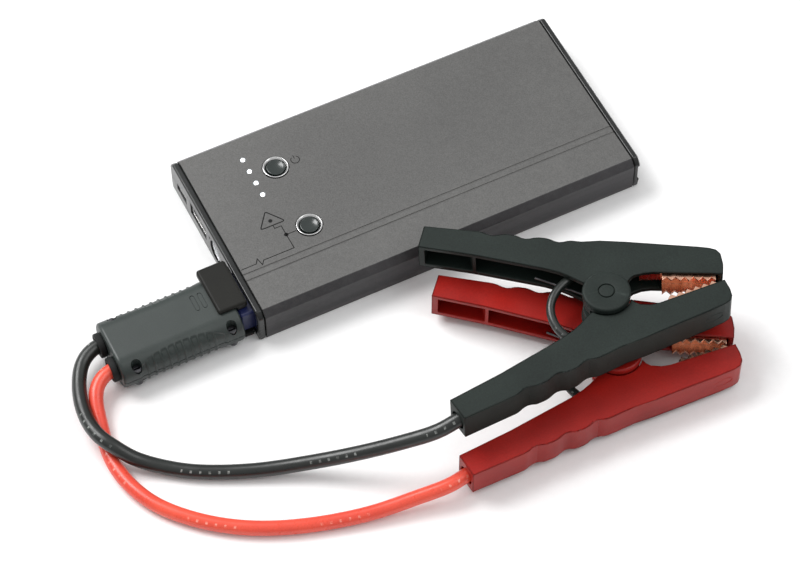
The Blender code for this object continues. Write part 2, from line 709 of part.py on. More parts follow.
def arm(colour, side):
    parent = EMPTIES[colour]
    look = f"clamp_{colour}"
    level = "upper" if side > 0 else "lower"
    name = f"{colour}_{level}_arm"
    body = plate(name, [arm_outline(side)], ARM_HALF, None, look, parent)
    soften(body, ARM_EDGE, 2)
    if side > 0:
        lobe_half = ARM_HALF - 0.06
        join(body, cylinder(
            f"{name}_lobe", LOBE_RADIUS, (0, 0, -lobe_half), (0, 0, lobe_half), parent=parent, sides=36))
    for index, (outline, half) in enumerate(cavity_outlines(side)):
        cut(body, plate(f"cut_{name}_channel_{index}", [outline], half, None, None, parent))
    if side < 0:
        for face in (-1, 1):
            cut(body, cylinder(
                f"cut_{name}_seat_{face}", CAP_RADIUS + GAP, (0, 0, face * (CAVITY_HALF - GAP)),
                (0, 0, face * (ARM_HALF + 2)), parent=parent, sides=36))
            join(body, lower_lobe(name, face, parent))
        for place, (first, second) in {"end": (-66, -56), "rib": (RIB_U - 3, RIB_U + 3)}.items():
            cut(body, cylinder(
                f"cut_{name}_lead_{place}", LEAD_RADIUS + LEAD_SLACK, lead_line(first), lead_line(second),
                parent=parent, sides=24))
    cut(body, cylinder(
        f"cut_{name}_bore", PIN_RADIUS + GAP, (0, 0, -9), (0, 0, 9), parent=parent, sides=24))
    return body


def lower_lobe(name, face, parent):
    """The lower arm's inner pivot ear, stepped under the upper arm's outer ear."""
    middle = (CAVITY_HALF - GAP + 2.1) / 2
    half = (CAVITY_HALF - GAP - 2.1) / 2
    count = 36
    outline = []
    for number in range(count + 1):
        angle = math.radians(-30 + 240 * number / count)
        outline.append((LOBE_RADIUS * math.cos(angle), LOBE_RADIUS * math.sin(angle)))
    outline += [(-7.0, -13.5), (7.0, -13.5)]
    ear = plate(
        f"{name}_ear_{face}", [outline], half, Matrix.Translation((0, 0, face * middle * MM)), None, parent)
    bridge = box(
        f"{name}_bridge_{face}", (-6.8, -13.3, min(face * 2.6, face * 5.0)),
        (6.8, -9.6, max(face * 2.6, face * 5.0)), parent=parent)
    return join(ear, bridge)


def jaw_teeth(colour, side):
    """A copper channel with serrated edges that lines the jaw."""
    parent = EMPTIES[colour]
    level = "upper" if side > 0 else "lower"
    start, end = (Vector(place) for place in TEETH_LINE)
    run = end - start
    out = Vector((run.y, -run.x)).normalized()
    zigzag = []
    for number in range(2 * TOOTH_COUNT + 1):
        on = start + run * number / (2 * TOOTH_COUNT)
        depth = TOOTH_TIP if (number % 2) == (0 if side > 0 else 1) else TOOTH_ROOT
        zigzag.append(on + out * depth)
    back = [end - out * 3.0, start - out * 3.0]
    outline = [(p.x, side * p.y) for p in zigzag + back]
    name = f"{colour}_{level}_jaw_teeth"
    teeth = plate(name, [outline], TEETH_HALF, None, "copper", parent)
    beyond = run * 0.1
    inner = [start - beyond + out * 3.5, end + beyond + out * 3.5, end + beyond - out * 2.1,
             start - beyond - out * 2.1]
    cut(teeth, plate(
        f"cut_{name}", [[(p.x, side * p.y) for p in inner]], TEETH_HALF - 0.8, None, None, parent))
    tail = [(14.2, 10.6), (14.2, 9.7), (24.0, 8.2), (24.0, 9.0)]
    join(teeth, plate(f"{name}_tail", [[(u, side * v) for u, v in tail]], 2.0, None, None, parent))


def pivot(colour):
    parent = EMPTIES[colour]
    cylinder(
        f"{colour}_pivot_rivet", PIN_RADIUS, (0, 0, -ARM_HALF), (0, 0, ARM_HALF), "steel", parent, sides=24)
    base = ARM_HALF + GAP
    top = base + CAP_HEIGHT
    disc = [(CAP_RADIUS - 0.6, top), (CAP_RADIUS, top - 0.6), (CAP_RADIUS, base), (0.0, base)]
    profiles = {"top": [(0.0, top + 0.35), (2.6, top + 0.35), (2.9, top)] + disc, "base": [(0.0, top)] + disc}
    for face, profile in profiles.items():
        turn = Matrix.Rotation(0.0 if face == "top" else math.pi, 4, "X")
        turned(f"{colour}_pivot_cap_{face}", profile, turn, f"clamp_{colour}", parent, steps=36)


def torsion_spring(colour):
    """Three turns round the rivet, with a leg in each handle."""
    half, radius, leave = 1.3, 3.7, 125
    sweep = 2 * 360 + 2 * leave
    steps = sweep // 24
    points = [(-23.0, 17.6, -half), (-12.0, 10.4, -half)]
    for number in range(steps + 1):
        angle = math.radians(leave - sweep * number / steps)
        points.append((radius * math.cos(angle), radius * math.sin(angle), half * (2 * number / steps - 1)))
    points += [(-12.0, -10.4, half), (-23.0, -17.6, half)]
    tube(f"{colour}_torsion_spring", points, SPRING_WIRE, "steel", EMPTIES[colour], resolution=1)


def jumper_wire(colour):
    tube(f"{colour}_jumper_wire", smooth_route(JUMPER_ROUTE, 4.0), JUMPER_RADIUS, "lead_black",
         EMPTIES[colour], resolution=2)


def clamp_empty(colour):
    empty = bpy.data.objects.new(f"{colour}_clamp", None)
    PARTS.objects.link(empty)
    empty.matrix_world = clamp_matrix(colour)
    return empty


def clamp(colour):
    for side in (1, -1):
        arm(colour, side)
        jaw_teeth(colour, side)
    pivot(colour)
    torsion_spring(colour)
    jumper_wire(colour)


case_sleeve()
port_end_cap()
rear_end_cap()
for button_name in BUTTON_Y:
    button(button_name)
indicator_lights()
torch()
usb_shell("usb_a_port", USB_A, (0.2, 2.0))
usb_shell("micro_usb_port", MICRO_USB, (-0.3, 0.4))
main_board()
battery_cells()
power_socket()
socket_flap()
module_shell("module_upper_shell", 1)
module_shell("module_lower_shell", -1)
module_screws()
nose_cap()
plug()
module_board()
EMPTIES = {colour: clamp_empty(colour) for colour in CLAMPS}
for clamp_colour in CLAMPS:
    lead_collar(clamp_colour)
    clamp(clamp_colour)
    lead(clamp_colour)
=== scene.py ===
import json
import math

import bmesh
import bpy
import numpy as np
from mathutils import Euler, Matrix, Vector


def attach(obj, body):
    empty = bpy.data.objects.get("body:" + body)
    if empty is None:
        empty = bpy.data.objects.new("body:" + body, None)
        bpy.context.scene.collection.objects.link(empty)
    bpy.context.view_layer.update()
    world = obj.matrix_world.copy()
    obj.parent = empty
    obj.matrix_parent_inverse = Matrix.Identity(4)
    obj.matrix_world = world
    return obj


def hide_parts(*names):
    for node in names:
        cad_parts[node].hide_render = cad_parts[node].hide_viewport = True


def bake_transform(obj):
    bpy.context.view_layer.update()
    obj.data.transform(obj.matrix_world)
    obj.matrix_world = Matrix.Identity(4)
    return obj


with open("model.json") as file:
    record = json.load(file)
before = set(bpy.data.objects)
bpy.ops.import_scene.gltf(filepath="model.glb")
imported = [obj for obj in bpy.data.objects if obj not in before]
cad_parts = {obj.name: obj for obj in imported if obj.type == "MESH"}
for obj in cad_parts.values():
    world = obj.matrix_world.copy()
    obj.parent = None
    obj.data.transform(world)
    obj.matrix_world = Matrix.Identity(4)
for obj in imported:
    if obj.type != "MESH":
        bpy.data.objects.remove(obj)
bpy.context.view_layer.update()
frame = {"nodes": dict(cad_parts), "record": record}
NODES = frame["nodes"]
BODY_OF = {node: body for body, nodes in frame["record"]["behaviour"]["bodies"].items() for node in nodes}
SLOT_OF = {row["node"]: row["material_slot"] for row in frame["record"]["subparts"]}
MM = 0.001
SCENE = bpy.context.scene

# places in millimetres, as in the CAD
TOP = 16.0
MODULE_Y, MODULE_Z = -26.4, 8.0
MODULE_X = (-134.5, -85.7)
MODULE_HALF, MODULE_RADIUS, MODULE_WALL = 14.0, 7.6, 1.8
PLUG_Y, PLUG_HALF = -25.5, 8.9
SCREW_X, SCREW_OFFSET, SCREW_HOLE = (-128.4, -90.2), 11.6, 2.0
LEAD_Y = {"black": -20.4, "red": -32.2}
LEAD_RADIUS = 2.75
CLAMPS = {
    "black": {"place": (32.8, -98.9, 26.8), "turn": (-2.0, -1.5, -17.0)},
    "red": {"place": (30.3, -113.3, 9.1), "turn": (0.5, 0.5, -18.5)},
}
LEAD_ROUTES = {
    "black": (
        (-138.0, -20.6, 8.0), (-144.0, -23.8, 7.6), (-148.5, -30.4, 7.3), (-151.3, -38.1, 7.5),
        (-152.6, -45.4, 7.9), (-152.7, -52.6, 9.0), (-151.3, -58.9, 9.6), (-148.8, -63.4, 9.0),
        (-144.3, -68.7, 6.2), (-138.0, -73.8, 3.8), (-127.9, -81.3, 3.0), (-115.8, -87.9, 3.0),
        (-103.6, -93.4, 3.8), (-90.8, -98.6, 5.9), (-77.6, -104.6, 10.0), (-64.3, -110.7, 15.4),
        (-52.4, -115.6, 20.4), (-44.0, -118.0, 23.6),
    ),
    "red": (
        (-134.8, -32.2, 8.0), (-140.6, -33.7, 7.7), (-145.0, -37.9, 6.7), (-147.2, -43.4, 5.2),
        (-148.4, -49.2, 3.8), (-149.5, -54.9, 2.95), (-150.6, -64.0, 2.95), (-149.8, -73.5, 2.95),
        (-147.2, -82.2, 2.95), (-143.1, -90.0, 2.95), (-137.7, -96.8, 2.95), (-128.8, -105.2, 2.95),
        (-118.2, -112.5, 2.95), (-101.9, -120.0, 2.95), (-87.3, -124.5, 3.1), (-72.8, -127.8, 4.1),
        (-57.6, -130.2, 6.3), (-46.0, -131.5, 8.1),
    ),
}
LEAD_IN_HANDLE = (
    (-61.2, -38.9, -0.9), (-50.0, -35.0, -0.3), (-40.0, -30.6, 0.0), (-24.0, -25.2, 0.0), (-8.0, -20.2, 0.0))
JUMPER_ROUTE = (
    (13.0, 12.6, 1.6), (6.0, 14.2, 1.9), (-2.0, 14.6, 2.1), (-10.0, 12.6, 2.2), (-16.6, 8.0, 2.0),
    (-20.2, 2.0, 1.2), (-20.2, -4.5, 0.0), (-17.0, -10.4, -1.1), (-11.5, -14.6, -1.4))


# ---------------------------------------------------------------- camera
def aim_camera():
    """The photograph's viewpoint: a long lens, 26 degrees round and 56 degrees up."""
    azimuth, elevation, roll = (math.radians(angle) for angle in (-25.461, 55.594, -1.01))
    target = Vector((-25.38, -46.69, 8.0)) * MM
    ahead = Vector((
        -math.sin(azimuth) * math.cos(elevation), math.cos(azimuth) * math.cos(elevation),
        -math.sin(elevation)))
    right = Vector((math.cos(azimuth), math.sin(azimuth), 0.0))
    up = right.cross(ahead)
    side = math.cos(roll) * right + math.sin(roll) * up
    top = -math.sin(roll) * right + math.cos(roll) * up
    data = bpy.data.cameras.new("camera")
    data.sensor_fit = "HORIZONTAL"
    data.sensor_width = 36.0
    data.lens = 134.23
    data.clip_start, data.clip_end = 0.05, 20.0
    camera = bpy.data.objects.new("camera", data)
    SCENE.collection.objects.link(camera)
    turn = Matrix((side, top, -ahead)).transposed().to_4x4()
    camera.matrix_world = Matrix.Translation(target - ahead * 1.11466) @ turn
    SCENE.camera = camera


aim_camera()


# ---------------------------------------------------------------- materials
class Look:
    """A Principled material whose colour, roughness and bump come from noise in object space."""

    def __init__(self, name, rough, metallic=0.0, coat=0.0, coat_rough=0.2, ior=1.5, specular=0.5):
        self.material = bpy.data.materials.new(name)
        self.material.use_nodes = True
        self.tree = self.material.node_tree
        self.shader = self.tree.nodes["Principled BSDF"]
        self.set("Roughness", rough)
        self.set("Metallic", metallic)
        self.set("Coat Weight", coat)
        self.set("Coat Roughness", coat_rough)
        self.set("IOR", ior)
        self.set("Specular IOR Level", specular)
        self.place = self.node("ShaderNodeTexCoord").outputs["Object"]
        self.heights = []

    def set(self, socket, value):
        self.shader.inputs[socket].default_value = value

    def node(self, kind, **settings):
        made = self.tree.nodes.new(kind)
        for key, value in settings.items():
            setattr(made, key, value)
        return made

    def link(self, output, target):
        self.tree.links.new(output, target)
        return target

    def noise(self, scale, detail=3.0, roughness=0.55, stretch=None, kind="ShaderNodeTexNoise"):
        made = self.node(kind)
        made.inputs["Scale"].default_value = scale
        if "Detail" in made.inputs:
            made.inputs["Detail"].default_value = detail
            made.inputs["Roughness"].default_value = roughness
        place = self.place
        if stretch:
            mapping = self.node("ShaderNodeMapping")
            mapping.inputs["Scale"].default_value = stretch
            self.link(place, mapping.inputs["Vector"])
            place = mapping.outputs["Vector"]
        self.link(place, made.inputs["Vector"])
        return made.outputs[0]

    def between(self, value, low, high, out_low, out_high):
        made = self.node("ShaderNodeMapRange")
        made.inputs["From Min"].default_value, made.inputs["From Max"].default_value = low, high
        made.inputs["To Min"].default_value, made.inputs["To Max"].default_value = out_low, out_high
        self.link(value, made.inputs["Value"])
        return made.outputs["Result"]

    def mix(self, factor, first, second, blend="MIX"):
        """Each of first and second is a colour or an output."""
        made = self.node("ShaderNodeMix", data_type="RGBA", blend_type=blend)
        if isinstance(factor, float):
            made.inputs[0].default_value = factor
        else:
            self.link(factor, made.inputs[0])
        for socket, value in ((6, first), (7, second)):
            if isinstance(value, tuple):
                made.inputs[socket].default_value = (*value, 1.0)
            else:
                self.link(value, made.inputs[socket])
        return made.outputs[2]

    def colour(self, output):
        self.link(output, self.shader.inputs["Base Color"])
        return self

    def mottle(self, light, dark, scale, fine_scale=2600.0, fine=0.12):
        """Slow drifts between two tones, with a finer speckle over them."""
        slow = self.between(self.noise(scale), 0.3, 0.7, 0.0, 1.0)
        base = self.mix(slow, dark, light)
        speck = self.between(self.noise(fine_scale, 2.0), 0.3, 0.7, 1.0 - fine, 1.0 + fine)
        grey = self.node("ShaderNodeCombineColor")
        for channel in range(3):
            self.link(speck, grey.inputs[channel])
        return self.mix(1.0, base, grey.outputs[0], "MULTIPLY")

    def roughness(self, value, low, high):
        self.link(self.between(value, 0.3, 0.7, low, high), self.shader.inputs["Roughness"])
        return self

    def bump(self, value, height, strength=1.0):
        made = self.node("ShaderNodeBump")
        made.inputs["Strength"].default_value = strength
        made.inputs["Distance"].default_value = height * MM
        self.link(value, made.inputs["Height"])
        if self.heights:
            self.link(self.heights[-1], made.inputs["Normal"])
        self.heights.append(made.outputs["Normal"])
        self.link(made.outputs["Normal"], self.shader.inputs["Normal"])
        return self

    def edge_wear_and_highlight(self, base, pale, amount=0.5, low=0.53, high=0.62):
        """A paler tone where the surface turns sharply outwards: partly edge wear, partly a painted highlight
        along the edges.
        """
        point = self.node("ShaderNodeNewGeometry").outputs["Pointiness"]
        edge = self.between(point, low, high, 0.0, amount)
        break_up = self.between(self.noise(420.0, 4.0), 0.4, 0.65, 0.2, 1.0)
        product = self.node("ShaderNodeMath", operation="MULTIPLY")
        self.link(edge, product.inputs[0])
        self.link(break_up, product.inputs[1])
        return self.mix(product.outputs[0], base, pale)


def plate_look():
    """Bead-blasted anodising: a fine sparkle of grey grains and a slow drift in tone."""
    look = Look("anodised_plate", 0.5, metallic=0.55)
    base = look.mottle((0.124, 0.123, 0.120), (0.106, 0.105, 0.103), 14.0, 2400.0, 0.18)
    # paler edges: partly wear, partly a painted highlight along the sleeve's edges
    look.colour(look.edge_wear_and_highlight(base, (0.26, 0.26, 0.25), 0.35))
    look.roughness(look.noise(1900.0, 2.0), 0.42, 0.6)
    return look.bump(look.noise(3200.0, 2.0), 0.012, 0.5).material


def painted_shade_side_look():
    """The extrusion's bevels and walls, drawn smoother than its top and darker with painted shade."""
    look = Look("anodised_side_painted_shade", 0.4, metallic=0.5)
    # a dark base: painted shade on the walls and bevels, which are the same anodising as the top
    base = look.mottle((0.052, 0.050, 0.053), (0.038, 0.037, 0.039), 22.0, 2600.0, 0.14)
    # paler edges: partly wear, partly a painted highlight
    look.colour(look.edge_wear_and_highlight(base, (0.2, 0.2, 0.2), 0.4))
    look.roughness(look.noise(300.0, 3.0, stretch=(0.05, 1.0, 1.0)), 0.34, 0.5)
    return look.bump(look.noise(900.0, 2.0, stretch=(0.03, 1.0, 1.0)), 0.01, 0.4).material


def moulded(
        name, light, dark, rough, grain, grain_scale=1500.0, coat=0.0, edge=None, specular=0.5, fine=0.12):
    """Moulded plastic with a spark-eroded grain, handled shiny in places, and paler at its edges: partly
    scuffs, partly a painted highlight.
    """
    look = Look(name, sum(rough) / 2, coat=coat, specular=specular)
    base = look.mottle(light, dark, 45.0, 1800.0, fine)
    # edge is a paler tone at sharp edges: partly scuffing, partly a painted highlight
    if edge:
        base = look.edge_wear_and_highlight(base, edge, 0.45)
    look.colour(base)
    look.roughness(look.noise(70.0, 5.0), *rough)
    look.bump(look.noise(grain_scale, 3.0), grain, 0.7)
    return look.bump(look.noise(160.0, 2.0), grain * 0.8, 0.25).material


def metal(name, light, dark, rough, scratch=0.006, edge=None):
    """Bare or plated metal with fine marks drawn out along Z."""
    stretch = (1.0, 1.0, 0.08)
    look = Look(name, sum(rough) / 2, metallic=1.0)
    base = look.mottle(light, dark, 160.0, 2200.0, 0.08)
    # edge is a paler tone at sharp edges: partly wear, partly a painted highlight
    if edge:
        base = look.edge_wear_and_highlight(base, edge, 0.6)
    look.colour(base)
    look.roughness(look.noise(600.0, 4.0, stretch=stretch), *rough)
    return look.bump(look.noise(1400.0, 3.0, stretch=stretch), scratch, 0.6).material


def jacket(name, light, dark, print_tone, rough, print_mix):
    """Silicone wire jacket. The attribute run holds the distance along it and the angle round it."""
    look = Look(name, sum(rough) / 2, coat=0.12, coat_rough=0.25)
    base = look.mottle(light, dark, 60.0, 1500.0, 0.06)
    run = look.node("ShaderNodeAttribute", attribute_name="run").outputs["Vector"]
    apart = look.node("ShaderNodeSeparateXYZ")
    look.link(run, apart.inputs[0])
    along, around = apart.outputs["X"], apart.outputs["Y"]

    def maths(operation, first, second=0.0, third=0.0):
        made = look.node("ShaderNodeMath", operation=operation)
        for socket, value in zip(made.inputs, (first, second, third)):
            if isinstance(value, (int, float)):
                socket.default_value = value
            else:
                look.link(value, socket)
        return made.outputs[0]

    # short pale bars in groups, with worn gaps: a generic print, not letters
    group = maths("LESS_THAN", maths("FRACT", maths("MULTIPLY", along, 1 / 0.046)), 0.42)
    bars = maths("LESS_THAN", maths("FRACT", maths("MULTIPLY", along, 1 / 0.0034)), 0.24)
    band = maths("LESS_THAN", maths("ABSOLUTE", maths("SUBTRACT", around, 0.62)), 0.2)
    worn = look.between(look.noise(900.0, 3.0), 0.42, 0.6, 0.15, 1.0)
    mask = maths("MULTIPLY", maths("MULTIPLY", group, bars), maths("MULTIPLY", band, worn))
    look.colour(look.mix(maths("MULTIPLY", mask, print_mix), base, print_tone))
    look.roughness(look.noise(260.0, 4.0), *rough)
    return look.bump(look.noise(500.0, 3.0), 0.02, 0.25).material


def glow_look(name, strength):
    look = Look(name, 0.3)
    cells = look.mottle((0.95, 0.97, 1.0), (0.82, 0.88, 0.95), 900.0, 2600.0, 0.04)
    look.colour(cells)
    look.link(cells, look.shader.inputs["Emission Color"])
    look.set("Emission Strength", strength)
    look.roughness(look.noise(1200.0), 0.25, 0.4)
    return look.bump(look.noise(1800.0), 0.01, 0.3).material


def clear_look():
    look = Look("torch_lens", 0.06, ior=1.49)
    look.set("Transmission Weight", 0.9)
    look.colour(look.mottle((0.96, 0.97, 0.98), (0.88, 0.9, 0.92), 120.0, 2000.0, 0.03))
    look.roughness(look.noise(500.0), 0.03, 0.12)
    return look.bump(look.noise(700.0), 0.01, 0.3).material


def board_look():
    look = Look("solder_mask", 0.4, coat=0.3)
    base = look.mottle((0.02, 0.12, 0.05), (0.012, 0.075, 0.03), 130.0, 1800.0, 0.15)
    tracks = look.noise(260.0, stretch=(1.0, 0.25, 1.0), kind="ShaderNodeTexVoronoi")
    copper = look.between(tracks, 0.05, 0.12, 0.5, 0.0)
    look.colour(look.mix(copper, base, (0.22, 0.3, 0.12)))
    look.roughness(look.noise(400.0), 0.3, 0.5)
    return look.bump(tracks, 0.03, 0.5).material


# Every edge= tone below paints sharp edges paler than the rest: partly wear, partly a painted highlight.
MATERIALS = {
    "plate": plate_look(),
    # side: the sleeve's walls and bevels, the same anodising as plate, darkened as painted shade
    "side": painted_shade_side_look(),
    "end_cap": moulded("end_cap_plastic", (0.011, 0.012, 0.012), (0.006, 0.007, 0.007), (0.2, 0.36), 0.012,
                       coat=0.2, edge=(0.06, 0.06, 0.06), specular=0.4),
    "cell": moulded("cell_wrap", (0.42, 0.43, 0.45), (0.33, 0.34, 0.37), (0.25, 0.4), 0.05, 300.0),
    "board": board_look(),
    "steel": metal("bright_steel", (0.74, 0.74, 0.73), (0.6, 0.6, 0.6), (0.14, 0.3), edge=(0.9, 0.9, 0.9)),
    "button": moulded("button_face", (0.016, 0.024, 0.022), (0.008, 0.013, 0.012), (0.14, 0.26), 0.006,
                      coat=0.5),
    "light": glow_look("light_white", 4.0),
    "dark_steel": metal("dark_steel", (0.075, 0.075, 0.08), (0.04, 0.04, 0.045), (0.25, 0.45),
                        edge=(0.3, 0.3, 0.3)),
    "tinned": metal("tinned_strands", (0.82, 0.80, 0.77), (0.66, 0.62, 0.58), (0.2, 0.36),
                    edge=(0.95, 0.93, 0.9)),
    "reflector": metal("reflector", (0.9, 0.9, 0.9), (0.82, 0.82, 0.82), (0.06, 0.14), 0.003),
    "lens": clear_look(),
    "blue": moulded("connector_blue", (0.012, 0.018, 0.085), (0.007, 0.011, 0.055), (0.3, 0.5), 0.012,
                    edge=(0.09, 0.1, 0.25)),
    "rubber": moulded("black_rubber", (0.010, 0.011, 0.011), (0.006, 0.006, 0.006), (0.6, 0.85), 0.02, 900.0,
                      edge=(0.07, 0.07, 0.07), specular=0.35),
    "module": moulded("module_plastic", (0.026, 0.035, 0.032), (0.017, 0.024, 0.022), (0.36, 0.5), 0.02,
                      1300.0, edge=(0.06, 0.075, 0.07)),
    "nose": moulded("nose_plastic", (0.010, 0.010, 0.008), (0.006, 0.006, 0.005), (0.42, 0.56), 0.008, 1500.0,
                    edge=(0.06, 0.06, 0.055), specular=0.22),
    "brass": metal("contact_brass", (0.78, 0.58, 0.26), (0.66, 0.46, 0.18), (0.2, 0.36),
                   edge=(0.9, 0.75, 0.45)),
    "black_jacket": jacket("black_lead_jacket", (0.014, 0.017, 0.015), (0.008, 0.010, 0.009),
                           (0.4, 0.42, 0.4), (0.26, 0.42), 0.55),
    "red_jacket": jacket("red_lead_jacket", (0.80, 0.085, 0.045), (0.70, 0.060, 0.034), (0.95, 0.55, 0.45),
                         (0.24, 0.4), 0.5),
    "black_clamp": moulded("black_clamp_plastic", (0.012, 0.019, 0.016), (0.007, 0.012, 0.010),
                           (0.46, 0.62), 0.03, 1250.0, edge=(0.05, 0.065, 0.06), specular=0.28, fine=0.25),
    "red_clamp": moulded("red_clamp_plastic", (0.33, 0.011, 0.007), (0.24, 0.007, 0.005), (0.28, 0.42), 0.014,
                         1400.0, edge=(0.75, 0.12, 0.10), specular=0.3),
    # the copper's pale peach edge tone paints the bright highlights along its teeth, broken up like wear
    "copper": metal("copper", (0.88, 0.50, 0.36), (0.72, 0.36, 0.23), (0.16, 0.34), 0.01,
                    edge=(0.98, 0.82, 0.74)),
    "ink": moulded("print_ink", (0.006, 0.006, 0.006), (0.004, 0.004, 0.004), (0.5, 0.7), 0.004,
                   specular=0.2),
}
SLOT_LOOK = {
    "anodised_case": "plate", "end_cap_plastic": "end_cap", "cell_wrap": "cell", "circuit_board": "board",
    "bright_steel": "steel", "button_face": "button", "light_white": "light", "reflector": "reflector",
    "torch_lens": "lens", "connector_blue": "blue", "black_rubber": "rubber", "module_plastic": "module",
    "nose_plastic": "nose", "contact_brass": "brass", "black_lead_jacket": "black_jacket",
    "red_lead_jacket": "red_jacket", "black_clamp_plastic": "black_clamp", "red_clamp_plastic": "red_clamp",
    "copper": "copper",
}


# ---------------------------------------------------------------- mesh helpers
def link_mesh(name, bm, look):
    mesh = bpy.data.meshes.new(name)
    bm.to_mesh(mesh)
    bm.free()
    obj = bpy.data.objects.new(name, mesh)
    SCENE.collection.objects.link(obj)
    mesh.materials.clear()
    for key in ([look] if isinstance(look, str) else look):
        mesh.materials.append(MATERIALS[key])
    return obj


def smooth(obj, angle=40):
    obj.data.shade_smooth()
    obj.data.set_sharp_from_angle(angle=math.radians(angle))
    return obj


def apply_modifiers(obj):
    graph = bpy.context.evaluated_depsgraph_get()
    made = bpy.data.meshes.new_from_object(obj.evaluated_get(graph), depsgraph=graph)
    obj.modifiers.clear()
    old = obj.data
    obj.data = made
    bpy.data.meshes.remove(old)
    return obj


def declare(obj, body, slot, *nodes):
    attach(obj, body)
    if nodes:
        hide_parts(*nodes)
    return obj


def stand_in(obj, node, *more):
    """The piece rides like the CAD node that it replaces, and that node is hidden."""
    return declare(obj, BODY_OF[node], SLOT_OF[node], node, *more)


def refined(node, look, width, segments=3, weld=0.004):
    """A copy of a CAD node's mesh with its flats merged and every edge finely rounded."""
    bm = bmesh.new()
    source = NODES[node].data.copy()
    if "custom_normal" in source.attributes:
        source.attributes.remove(source.attributes["custom_normal"])
    bm.from_mesh(source)
    bmesh.ops.remove_doubles(bm, verts=bm.verts, dist=weld * MM)
    bmesh.ops.dissolve_limit(bm, angle_limit=math.radians(1.0), verts=bm.verts, edges=bm.edges)
    obj = link_mesh(f"{node}_fine", bm, look)
    bpy.data.meshes.remove(source)
    edge = obj.modifiers.new("rounded", "BEVEL")
    edge.width = width * MM
    edge.segments = segments
    edge.limit_method = "ANGLE"
    edge.angle_limit = math.radians(25)
    edge.use_clamp_overlap = False
    edge.miter_outer = "MITER_ARC"
    smooth(obj, 50)
    weight = obj.modifiers.new("even_normals", "WEIGHTED_NORMAL")
    weight.keep_sharp = True
    apply_modifiers(obj)
    return stand_in(obj, node)


def spun(name, profile, matrix, look, steps=96):
    """Spin a profile of (radius, height) pairs about Z, shaded smooth."""
    bm = bmesh.new()
    rings = []
    for radius, height in profile:
        if radius < 1e-6:
            rings.append([bm.verts.new(matrix @ Vector((0, 0, height * MM)))])
            continue
        ring = []
        for number in range(steps):
            angle = 2 * math.pi * number / steps
            ring.append(bm.verts.new(matrix @ Vector((
                radius * math.cos(angle) * MM, radius * math.sin(angle) * MM, height * MM))))
        rings.append(ring)
    for first, second in zip(rings, rings[1:]):
        for number in range(steps):
            following = (number + 1) % steps
            if len(first) == 1:
                bm.faces.new((first[0], second[number], second[following]))
            elif len(second) == 1:
                bm.faces.new((first[number], second[0], first[following]))
            else:
                bm.faces.new((first[number], second[number], second[following], first[following]))
    if len(rings[0]) > 1:
        for number in range(steps):
            following = (number + 1) % steps
            bm.faces.new((rings[-1][number], rings[0][number], rings[0][following], rings[-1][following]))
    bmesh.ops.recalc_face_normals(bm, faces=bm.faces)
    return smooth(link_mesh(name, bm, look), 35)


def arc(centre, radius, start, end, steps=6):
    """Points of (radius, height) on a quarter or part circle, for a rounded profile corner."""
    return [
        (centre[0] + radius * math.cos(math.radians(start + (end - start) * t / steps)),
         centre[1] + radius * math.sin(math.radians(start + (end - start) * t / steps)))
        for t in range(steps + 1)]


def smooth_route(points, step):
    """Evenly spaced points on the natural cubic spline through the given points."""
    knots = np.array([tuple(point) for point in points])
    at = np.concatenate([[0.0], np.cumsum(np.linalg.norm(np.diff(knots, axis=0), axis=1))])
    span = np.diff(at)[:, None]
    slope = np.diff(knots, axis=0) / span
    system = np.eye(len(knots))
    bend = np.zeros(knots.shape)
    for i in range(1, len(knots) - 1):
        system[i, i - 1:i + 2] = span[i - 1, 0], 2 * (span[i - 1, 0] + span[i, 0]), span[i, 0]
        bend[i] = 6 * (slope[i] - slope[i - 1])
    bend = np.linalg.solve(system, bend)
    fine = np.linspace(0.0, at[-1], 40 * len(knots))
    part = np.clip(np.searchsorted(at, fine) - 1, 0, len(span) - 1)
    low, high = (fine - at[part])[:, None], (at[part + 1] - fine)[:, None]
    width = span[part]
    curve = (bend[part] * high ** 3 + bend[part + 1] * low ** 3) / (6 * width)
    curve += (knots[part] / width - bend[part] * width / 6) * high
    curve += (knots[part + 1] / width - bend[part + 1] * width / 6) * low
    run = np.concatenate([[0.0], np.cumsum(np.linalg.norm(np.diff(curve, axis=0), axis=1))])
    places = np.linspace(0.0, run[-1], max(2, round(run[-1] / step) + 1))
    return [Vector(point) for point in zip(*(np.interp(places, run, curve[:, k]) for k in range(3)))]


def sweep(name, points, radius, look, sides):
    """A round tube along points in metres, which keeps its side level, with the run attribute."""
    up = Vector((0.0, 0.0, 1.0))
    bm = bmesh.new()
    layer = bm.verts.layers.float_vector.new("run")
    rings = []
    travelled = 0.0
    last_side = None
    for index, point in enumerate(points):
        ahead = (points[min(index + 1, len(points) - 1)] - points[max(index - 1, 0)]).normalized()
        if last_side is None:
            last_side = ahead.cross(up).normalized()
        last_side = (last_side - ahead * last_side.dot(ahead)).normalized()
        level = ahead.cross(up)
        if level.length > 0.3:
            last_side = last_side.lerp(level.normalized(), 0.25).normalized()
            last_side = (last_side - ahead * last_side.dot(ahead)).normalized()
        rise = last_side.cross(ahead)
        if index:
            travelled += (point - points[index - 1]).length
        ring = []
        for number in range(sides):
            angle = 2 * math.pi * number / sides
            vert = bm.verts.new(point + radius * (math.cos(angle) * rise + math.sin(angle) * last_side))
            vert[layer] = (travelled, angle if angle < math.pi else angle - 2 * math.pi, 0.0)
            ring.append(vert)
        rings.append(ring)
    for first, second in zip(rings, rings[1:]):
        for number in range(sides):
            following = (number + 1) % sides
            bm.faces.new((first[number], second[number], second[following], first[following]))
    for ring in (rings[0], rings[-1]):
        bm.faces.new(ring)
    bmesh.ops.recalc_face_normals(bm, faces=bm.faces)
    return smooth(link_mesh(name, bm, look), 50)


